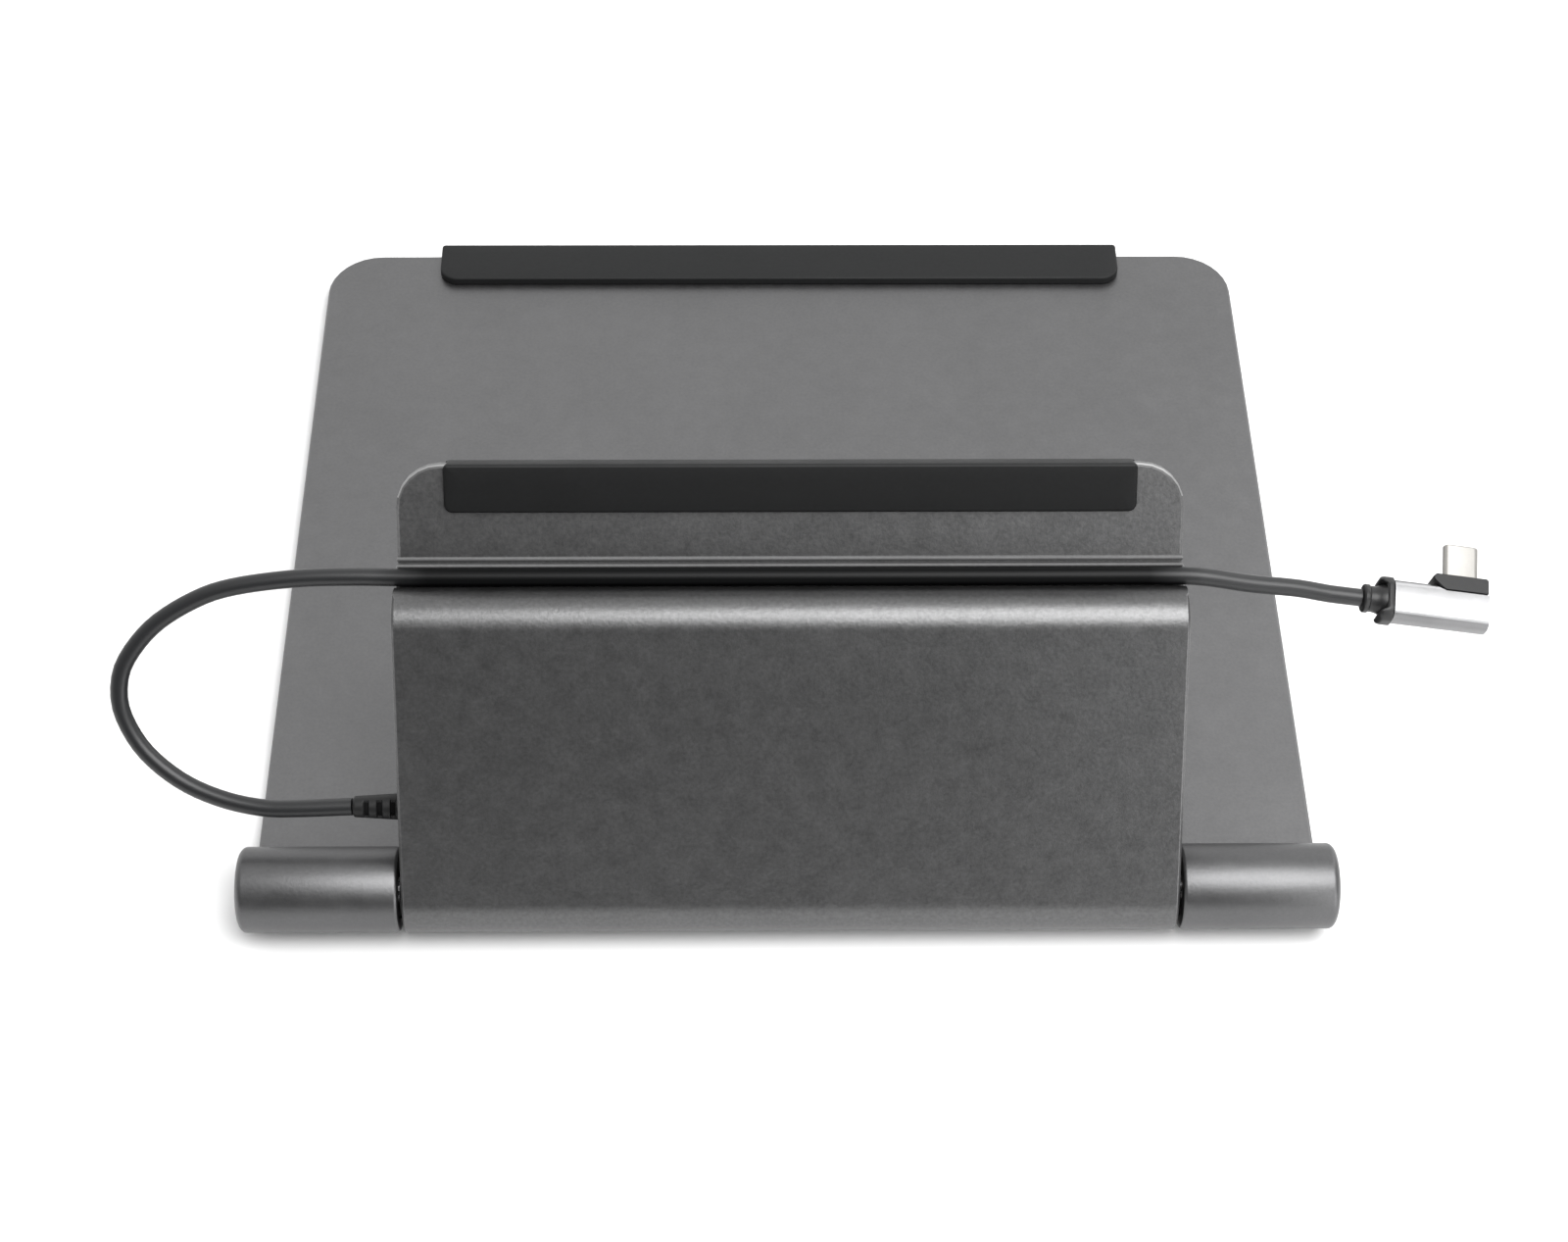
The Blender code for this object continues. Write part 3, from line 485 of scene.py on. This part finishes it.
def lofted_mesh(name, rings, place):
    """Closed mesh through equal rings of points, capped at both ends, put in place."""
    count = len(rings[0])
    points = [place @ Vector(point) for ring in rings for point in ring]
    faces = []
    for level in range(len(rings) - 1):
        low = level * count
        high = low + count
        for i in range(count):
            j = (i + 1) % count
            faces.append((low + i, low + j, high + j, high + i))
    faces.append(tuple(range(count)))
    faces.append(tuple(range(len(points) - count, len(points))))
    mesh = bpy.data.meshes.new(name)
    mesh.from_pydata(points, [], faces)
    shape = bmesh.new()
    shape.from_mesh(mesh)
    bmesh.ops.recalc_face_normals(shape, faces=shape.faces)
    shape.to_mesh(mesh)
    shape.free()
    return mesh


def turned_mesh(name, profile, sides, place):
    """Closed body turned about place's X axis from (distance along it, radius) pairs."""
    rings = []
    for x, radius in profile:
        turns = [2 * math.pi * i / sides for i in range(sides)]
        rings.append([(x, radius * math.cos(turn), radius * math.sin(turn)) for turn in turns])
    return lofted_mesh(name, rings, place)


def make_collar():
    """Turned collar with a bead at its free end, flaring into the flange."""
    start = COLLAR_START
    profile = (
        (start, 0.0027), (start, 0.0030), (start + 0.0001, 0.0032), (start + 0.0004, 0.0034),
        (start + 0.0012, 0.0034), (start + 0.0014, 0.0033), (start + 0.0016, 0.0031),
        (-0.0166, 0.0031), (-0.0160, 0.0032), (-0.0154, 0.0034), (-0.0148, 0.0037), (-0.0139, 0.0038),
    )
    finished_piece(
        "plug_collar_skin", turned_mesh("plug_collar", profile, 64, PLUG), PLASTIC, "leg", ["plug_collar"]
    )


def make_flange():
    """Moulded flange behind the plug's shell, with a rounded lobe on each side of the collar."""
    reach, straight, corner = 0.0056, 0.0025, 0.0031
    back, front = -0.0140, -0.0124
    steps = 44
    rings = []
    for step in range(steps + 1):
        along = reach * math.sin(math.pi * (step / steps - 0.5))
        away = abs(along)
        half = 0.0008 + math.sqrt(max(0.0, corner ** 2 - max(0.0, away - straight) ** 2))
        lobe = min(1.0, max(0.0, (away - 0.0029) / 0.0011))
        lobe = lobe * lobe * (3.0 - 2.0 * lobe)
        turn = min(1.0, max(0.0, (away - 0.0044) / 0.0012))
        start = back - 0.0016 * lobe + 0.0013 * (1.0 - math.sqrt(1.0 - turn * turn))
        soft = min(0.0009, (front - start) / 2, half * 0.9)
        crisp = 0.0002
        ring = []
        for count, radius, x, z, first in (
            (8, soft, start + soft, half - soft, 180),
            (3, crisp, front - crisp, half - crisp, 90),
            (3, crisp, front - crisp, crisp - half, 0),
            (8, soft, start + soft, soft - half, -90),
        ):
            for i in range(count + 1):
                angle = math.radians(first - 90.0 * i / count)
                ring.append((x + radius * math.cos(angle), along, z + radius * math.sin(angle)))
        rings.append(ring)
    mesh = lofted_mesh("plug_flange", rings, PLUG)
    finished_piece("plug_flange_skin", mesh, PLASTIC, "leg", ["plug_flange"])


make_collar()
make_flange()


# ---------------------------------------------------------------- cable
def smooth_curve(points, step):
    """Smooth curve through the route points, read at a steady step along its length."""
    ends = [2 * points[0] - points[1]] + points + [2 * points[-1] - points[-2]]
    fine = []
    for before, start, end, after in zip(ends, ends[1:], ends[2:], ends[3:]):
        for i in range(24):
            t = i / 24
            fine.append(
                0.5
                * (
                    2 * start
                    + (end - before) * t
                    + (2 * before - 5 * start + 4 * end - after) * t * t
                    + (3 * start - before - 3 * end + after) * t * t * t
                )
            )
    fine.append(points[-1])
    lengths = [0.0]
    for start, end in zip(fine, fine[1:]):
        lengths.append(lengths[-1] + (end - start).length)
    count = round(lengths[-1] / step)
    even = []
    index = 0
    for i in range(count + 1):
        target = lengths[-1] * i / count
        while index < len(fine) - 2 and lengths[index + 1] < target:
            index += 1
        stretch = lengths[index + 1] - lengths[index]
        part = (target - lengths[index]) / stretch if stretch else 0.0
        even.append(fine[index].lerp(fine[index + 1], min(part, 1.0)))
    return even


def make_cable():
    slot = (0.0773, -0.00085)
    route = [
        (RELIEF_TIP - GAP, RELIEF_ALONG, RELIEF_HEIGHT),
        (-0.1167, 0.0212, 0.0016),
        (-0.1253, 0.0212, 0.0010),
        (-0.1353, 0.0233, 0.0002),
        (-0.1448, 0.0276, -0.0008),
        (-0.1529, 0.0346, -0.0018),
        (-0.1575, 0.0429, -0.0025),
        (-0.1583, 0.0500, -0.0028),
        (-0.1561, 0.0570, -0.0029),
        (-0.1492, 0.0653, -0.0027),
        (-0.1394, 0.0716, -0.0022),
        (-0.1301, 0.0749, -0.0017),
        (-0.1157, 0.0770, -0.0012),
        (-0.1022, 0.0775, -0.0009),
        (-0.0880, *slot),
        (-0.0600, *slot),
        (-0.0300, *slot),
        (0.0000, *slot),
        (0.0300, *slot),
        (0.0600, *slot),
        (0.0880, *slot),
        (0.0967, 0.0769, -0.0010),
        (0.1077, 0.0751, -0.0016),
        (0.1187, 0.0738, -0.0022),
    ]
    points = [LEG @ Vector(point) for point in route]
    points += [PLUG @ Vector((COLLAR_START - x, 0.0, 0.0)) for x in (0.0080, 0.0040, GAP)]
    even = smooth_curve(points, 0.0025)
    curve = bpy.data.curves.new("cable_run", "CURVE")
    curve.dimensions = "3D"
    curve.bevel_depth = CABLE_RADIUS
    curve.bevel_resolution = 6
    curve.use_fill_caps = True
    spline = curve.splines.new("POLY")
    spline.points.add(len(even) - 1)
    for target, point in zip(spline.points, even):
        target.co = (*point, 1.0)
    spline.use_smooth = True
    cable = bpy.data.objects.new("cable_run", curve)
    bpy.context.scene.collection.objects.link(cable)
    curve.materials.append(CABLE_SKIN)
    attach(cable, "leg")
    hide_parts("cable")


make_cable()


# ---------------------------------------------------------------- solids of this script's own
CROWN_INSET = 0.003
CROWN = 0.00012


def arc(centre_a, centre_b, radius, start, end, steps):
    """Points round a centre from one angle to another, in degrees."""
    points = []
    for i in range(steps + 1):
        angle = math.radians(start + (end - start) * i / steps)
        points.append((centre_a + radius * math.cos(angle), centre_b + radius * math.sin(angle)))
    return points


def rounded_rectangle(low, high, radii, inset, steps):
    """Corner radii run counter-clockwise from the low corner; inset shrinks the whole outline."""
    corners = (
        (low[0], low[1], 1, 1, 180),
        (high[0], low[1], -1, 1, 270),
        (high[0], high[1], -1, -1, 0),
        (low[0], high[1], 1, -1, 90),
    )
    points = []
    for (a, b, side_a, side_b, start), radius in zip(corners, radii):
        reach = max(radius, inset + 0.00005)
        points += arc(a + side_a * reach, b + side_b * reach, reach - inset, start, start + 90, steps)
    return points


def round_levels(low, high, low_round, high_round, crown=0.0, steps=5):
    """(height, inset) pairs of a slab with both rims rounded, and a crowned upper face if crown is given."""
    turns = [math.pi / 2 * i / steps for i in range(steps + 1)]
    levels = [(low + low_round * (1 - math.cos(turn)), low_round * (1 - math.sin(turn))) for turn in turns]
    for turn in turns:
        levels.append((high - high_round * (1 - math.sin(turn)), high_round * (1 - math.cos(turn))))
    if crown:
        levels.append((high + crown, high_round + CROWN_INSET))
    return levels


def cut_away(mesh_owner, low, high, place):
    """The piece's mesh with a box taken out of it."""
    outline = ((low[0], low[1]), (high[0], low[1]), (high[0], high[1]), (low[0], high[1]))
    rings = [[(x, y, z) for x, y in outline] for z in (low[2], high[2])]
    mesh = lofted_mesh("cutter", rings, place)
    cutter = bpy.data.objects.new("cutter", mesh)
    bpy.context.scene.collection.objects.link(cutter)
    modifier = mesh_owner.modifiers.new("hollow", "BOOLEAN")
    modifier.operation = "DIFFERENCE"
    modifier.solver = "EXACT"
    modifier.object = cutter
    bpy.context.view_layer.update()
    seen = mesh_owner.evaluated_get(bpy.context.evaluated_depsgraph_get())
    result = bpy.data.meshes.new_from_object(seen)
    mesh_owner.modifiers.remove(modifier)
    bpy.data.objects.remove(cutter)
    return result


def edging(node, body, place, half, along, heights, sheet, corners, rims):
    """Rubber strip that wraps over the edge of a sheet, which is given by its end and its two faces."""
    start, end = along
    low, high = heights
    near_corner, far_corner = corners
    low_rim, high_rim = rims
    radii = (near_corner, near_corner, far_corner, far_corner)
    rings = []
    for height, inset in round_levels(low, high, low_rim, high_rim, CROWN):
        outline = rounded_rectangle((-half, start), (half, end), radii, inset, 10)
        rings.append([(a, b, height) for a, b in outline])
    rough = bpy.data.objects.new("rough", lofted_mesh("rough", rings, place))
    bpy.context.scene.collection.objects.link(rough)
    sheet_end, sheet_low, sheet_high = sheet
    box_low = (-half - 0.002, start - 0.002, sheet_low - GAP)
    box_high = (half + 0.002, sheet_end + GAP, sheet_high + GAP)
    mesh = cut_away(rough, box_low, box_high, place)
    bpy.data.objects.remove(rough)
    mesh.name = node + "_moulding"
    return finished_piece(node + "_moulding", mesh, finish_of(node), body, [node])


def make_rubbers():
    edging(
        "far_edge_rubber", "base", BASE, FAR_RUBBER_HALF,
        along=(FAR_RUBBER_START, PLATE_FAR_Y + FAR_RUBBER_OVERHANG),
        heights=(-HINGE_HEIGHT, PLATE_HIGH + FAR_RUBBER_HEIGHT),
        sheet=(PLATE_FAR_Y, PLATE_LOW, PLATE_HIGH),
        corners=(0.0050, 0.0010),
        rims=(0.0004, 0.0006),
    )
    edging(
        "lip_rubber", "leg", LEG, LIP_RUBBER_HALF,
        along=(LIP_RUBBER_START, LIP_END + LIP_RUBBER_OVERHANG),
        heights=(LEG_BACK - LIP_RUBBER_DEPTH, CHANNEL_FLOOR + LIP_RUBBER_HEIGHT),
        sheet=(LIP_END, LEG_BACK, CHANNEL_FLOOR),
        corners=(0.0020, 0.0012),
        rims=(0.0013, 0.0009),
    )
    near, far = PAD_ACROSS
    for side, low, high in (("left", -far, -near), ("right", near, far)):
        rings = []
        for height, inset in round_levels(-HINGE_HEIGHT, PLATE_LOW - GAP, 0.0006, 0.0001):
            first, last = (low, PAD_ALONG[0]), (high, PAD_ALONG[1])
            outline = rounded_rectangle(first, last, (PAD_CORNER,) * 4, inset, 10)
            rings.append([(a, b, height) for a, b in outline])
        name = "underside_pad_" + side
        mesh = lofted_mesh(name, rings, BASE)
        finished_piece(name + "_moulding", mesh, RUBBER, "base", [name])


def make_relief():
    """Tapered sleeve with three flex grooves, bridged by a spine along its upper side."""
    inner, flange_end = -0.0860, -0.0887
    flange_radius, flange_rim = 0.0044, 0.0043
    start_radius, narrowing = 0.0034, 0.0009
    tip_length, tip_drop = 0.0005, 0.0004
    grooves = (-0.0940, -0.0972, -0.1004)
    groove_half = 0.00062
    core = CABLE_RADIUS + 0.0002
    sides, steps = 48, 84
    stations = [inner, inner - 0.0001, flange_end + 0.0001, flange_end]
    sleeve = RELIEF_TIP - GAP - flange_end
    stations += [flange_end - 0.00005 + sleeve * i / steps for i in range(steps + 1)]
    grooved = []
    rings = []
    for number, x in enumerate(stations):
        if number < 4:
            radius = flange_rim if number in (0, 3) else flange_radius
            depth = 0.0
        else:
            taper = (x - flange_end) / (RELIEF_TIP - flange_end)
            radius = start_radius - narrowing * taper
            tip = max(0.0, 1.0 - (x - RELIEF_TIP) / tip_length)
            radius -= tip_drop * tip * tip
            depth = 0.0
            for groove in grooves:
                away = abs(x - groove) / groove_half
                depth = max(depth, min(1.0, max(0.0, (1.15 - away) / 0.3)))
        grooved.append(depth)
        ring = []
        for i in range(sides):
            angle = 2 * math.pi * i / sides
            spine = min(1.0, max(0.0, (abs(math.cos(angle)) - 0.70) / 0.10))
            reach = radius - (radius - core) * depth * (1.0 - spine)
            along = RELIEF_ALONG + reach * math.cos(angle)
            ring.append((x, along, RELIEF_HEIGHT + reach * math.sin(angle)))
        rings.append(ring)
    mesh = lofted_mesh("cable_strain_relief", rings, LEG)
    name = "cable_strain_relief_moulding"
    finished_piece(name, mesh, RELIEF_PLASTIC, "leg", ["cable_strain_relief"])
    # Painted shade: faces deep in the grooves, off the spine, get the near-black groove material.
    mesh.materials.append(GROOVE_SHADE)
    for polygon in mesh.polygons:
        level, side = divmod(polygon.index, sides)
        on_spine = abs(math.cos(2 * math.pi * (side + 0.5) / sides)) > 0.72
        if level == len(rings) - 1 or on_spine:
            continue
        if min(grooved[level], grooved[level + 1]) > 0.5:
            polygon.material_index = 1


def screw_rings(centre, levels, recess, depth):
    """Turned screw whose first level is its head's face, with a six-lobed recess sunk in it."""
    sides, lobes, lobe_depth = 36, 6, 0.16
    face = levels[0][0]
    rows = [(face + depth, recess, lobe_depth), (face, recess, lobe_depth)]
    rows += [(height, radius, 0.0) for height, radius in levels]
    rings = []
    for height, radius, wave in rows:
        ring = []
        for i in range(sides):
            angle = 2 * math.pi * i / sides
            reach = radius * (1.0 + wave * math.cos(lobes * angle))
            across = centre[0] + reach * math.cos(angle)
            ring.append((across, centre[1] + reach * math.sin(angle), height))
        rings.append(ring)
    return rings


def screw_levels(face, edge, flank, seat, head_edge, head, shank, tip):
    """(height, radius) pairs up a screw: head's face, eased edge, flank, shoulder and shank."""
    return (
        (face, head_edge), (face + edge, head), (face + flank, head), (face + seat, shank), (tip, shank),
    )


def make_screws():
    low = PLATE_LOW
    levels = screw_levels(low, 0.0003, 0.0007, 0.0007, 0.0019, 0.0023, 0.00125, low + 0.0026)
    for side, sign in (("left", -1), ("right", 1)):
        for number, x in enumerate(BARREL_SCREWS, start=1):
            name = "barrel_screw_%s_%d" % (side, number)
            rings = screw_rings((sign * x, BARREL_SCREW_ALONG), levels, 0.0010, 0.0005)
            finished_piece(name + "_turned", lofted_mesh(name, rings, BASE), STEEL, "base", [name])
    seats = []
    for number, centre in enumerate(COVER_SCREWS, start=1):
        seats.append(("cover_screw_%d" % number, centre, LEG_BACK, -0.0034))
    for number, x in enumerate(LIP_SCREWS, start=1):
        seats.append(("lip_screw_%d" % number, (x, LIP_SCREW_ALONG), LEG_BACK + 0.0001, -0.0022))
    for name, centre, low, tip in seats:
        levels = screw_levels(low, 0.0002, 0.0005, 0.0005, 0.0017, 0.0020, 0.0010, tip)
        mesh = lofted_mesh(name, screw_rings(centre, levels, 0.0009, 0.0004), LEG)
        finished_piece(name + "_turned", mesh, STEEL, "leg", [name])


def strips_mesh(name, boxes, place):
    """Several small rounded-end strips as one mesh."""
    points = []
    faces = []
    for low, high in boxes:
        start = len(points)
        inset = 0.00012
        for z, shrink in ((low[2], 0.0), (high[2] - 0.00005, 0.0), (high[2], 0.00005)):
            for x, y in (
                (low[0] + inset, low[1] + shrink), (high[0] - inset, low[1] + shrink),
                (high[0] - shrink, low[1] + inset), (high[0] - shrink, high[1] - inset),
                (high[0] - inset, high[1] - shrink), (low[0] + inset, high[1] - shrink),
                (low[0] + shrink, high[1] - inset), (low[0] + shrink, low[1] + inset),
            ):
                points.append(place @ Vector((x, y, z)))
        for level in (0, 8):
            for i in range(8):
                j = (i + 1) % 8
                a = start + level
                faces.append((a + i, a + j, a + 8 + j, a + 8 + i))
        faces.append(tuple(start + i for i in range(7, -1, -1)))
        faces.append(tuple(range(start + 16, start + 24)))
    mesh = bpy.data.meshes.new(name)
    mesh.from_pydata(points, [], faces)
    return mesh


# name, side, mouth's low and high along the leg, tongue's upper face, number of contacts, their width
SOCKETS = (
    ("hdmi_contacts", 1, 0.0162, 0.0280, 0.00185, 10, 0.00045),
    ("usb_c_contacts", 1, 0.0342, 0.0400, 0.00285, 12, 0.00025),
    ("usb_a_contacts_1", -1, 0.0301, 0.0399, 0.00185, 4, 0.0011),
    ("usb_a_contacts_2", -1, 0.0463, 0.0561, 0.00185, 4, 0.0011),
)


def make_contacts():
    """Gilt strips along the tongues of the sockets."""
    side_gap, thickness = 0.0003, 0.00012
    inner, outer = 0.0846, 0.0900
    for name, sign, low, high, top, count, width in SOCKETS:
        boxes = []
        pitch = (high - low - 2 * side_gap) / count
        near, far = sorted((sign * inner, sign * outer))
        for i in range(count):
            middle = low + side_gap + pitch * (i + 0.5)
            start = (near, middle - width / 2, top)
            boxes.append((start, (far, middle + width / 2, top + thickness)))
        contacts = finished_piece(name, strips_mesh(name, boxes, LEG), GOLD, "leg", [])


def on_lit_rubber_end(centre, facing):
    """The lip rubber's faces towards the lip's free end, turned up towards the light and painted a little
    lighter than its upper face: painted light.
    """
    return facing.y > 0.35


make_rubbers()
# Painted light: the lip rubber's end faces get the lighter rubber.
recoat("lip_rubber_moulding", LEG, RUBBER, on_lit_rubber_end)
make_relief()
make_screws()
make_contacts()


# ---------------------------------------------------------------- floor and light
FLOOR_PAINT = (0.86, 0.86, 0.86)
FLOOR_RADIUS = 9.0
WORLD_FRONT = 0.14               # brightness of the surroundings towards -Y and towards +Y
WORLD_BACK = 1.25
# name, place, target, width, depth, watts
LIGHTS = (
    ("softbox", (0.28, -0.40, 1.05), (0.0, -0.05, 0.0), 0.8, 0.85, 16.0),
    ("near_panel", (0.38, -0.45, 0.15), (0.09, -0.10, 0.05), 0.3, 0.3, 0.9),
    ("right_panel", (0.45, 0.25, 0.35), (0.13, 0.0, 0.0), 0.3, 0.3, 0.5),
)


def make_stage():
    mesh = bpy.data.meshes.new("floor")
    rings = bmesh.new()
    bmesh.ops.create_circle(rings, cap_ends=True, segments=96, radius=FLOOR_RADIUS)
    rings.to_mesh(mesh)
    rings.free()
    floor = bpy.data.objects.new("floor", mesh)
    bpy.context.scene.collection.objects.link(floor)
    material, shader = new_material("floor_paint", FLOOR_PAINT, 0.75)
    place = add_node(material, "ShaderNodeTexCoord")
    soft = noise_node(material, place, 3.0, 2.0, 0.5)
    tone = ramp(material, soft, "Fac", 0.3, 0.7, 0.99, 1.01)
    tinted(material, shader, FLOOR_PAINT, tone)
    mesh.materials.append(material)


def area_light(name, place, target, width, depth, power):
    data = bpy.data.lights.new(name, "AREA")
    data.shape = "RECTANGLE"
    data.size = width
    data.size_y = depth
    data.energy = power
    light = bpy.data.objects.new(name, data)
    bpy.context.scene.collection.objects.link(light)
    light.visible_camera = False
    light.location = place
    light.rotation_euler = (Vector(target) - Vector(place)).to_track_quat("-Z", "Y").to_euler()


def make_world():
    """White surroundings that are dim on the camera's side and bright beyond the part."""
    world = bpy.data.worlds.new("studio")
    bpy.context.scene.world = world
    world.use_nodes = True
    tree = world.node_tree
    background = tree.nodes["Background"]
    place = tree.nodes.new("ShaderNodeTexCoord")
    split = tree.nodes.new("ShaderNodeSeparateXYZ")
    tree.links.new(place.outputs["Generated"], split.inputs["Vector"])
    tone = tree.nodes.new("ShaderNodeMapRange")
    tone.inputs["From Min"].default_value = -0.9
    tone.inputs["From Max"].default_value = 0.7
    tone.inputs["To Min"].default_value = WORLD_FRONT
    tone.inputs["To Max"].default_value = WORLD_BACK
    tree.links.new(split.outputs["Y"], tone.inputs["Value"])
    background.inputs["Color"].default_value = (1.0, 1.0, 1.0, 1.0)
    tree.links.new(tone.outputs["Result"], background.inputs["Strength"])


make_stage()
for light in LIGHTS:
    area_light(*light)
make_world()
bpy.context.scene.view_settings.view_transform = "Standard"
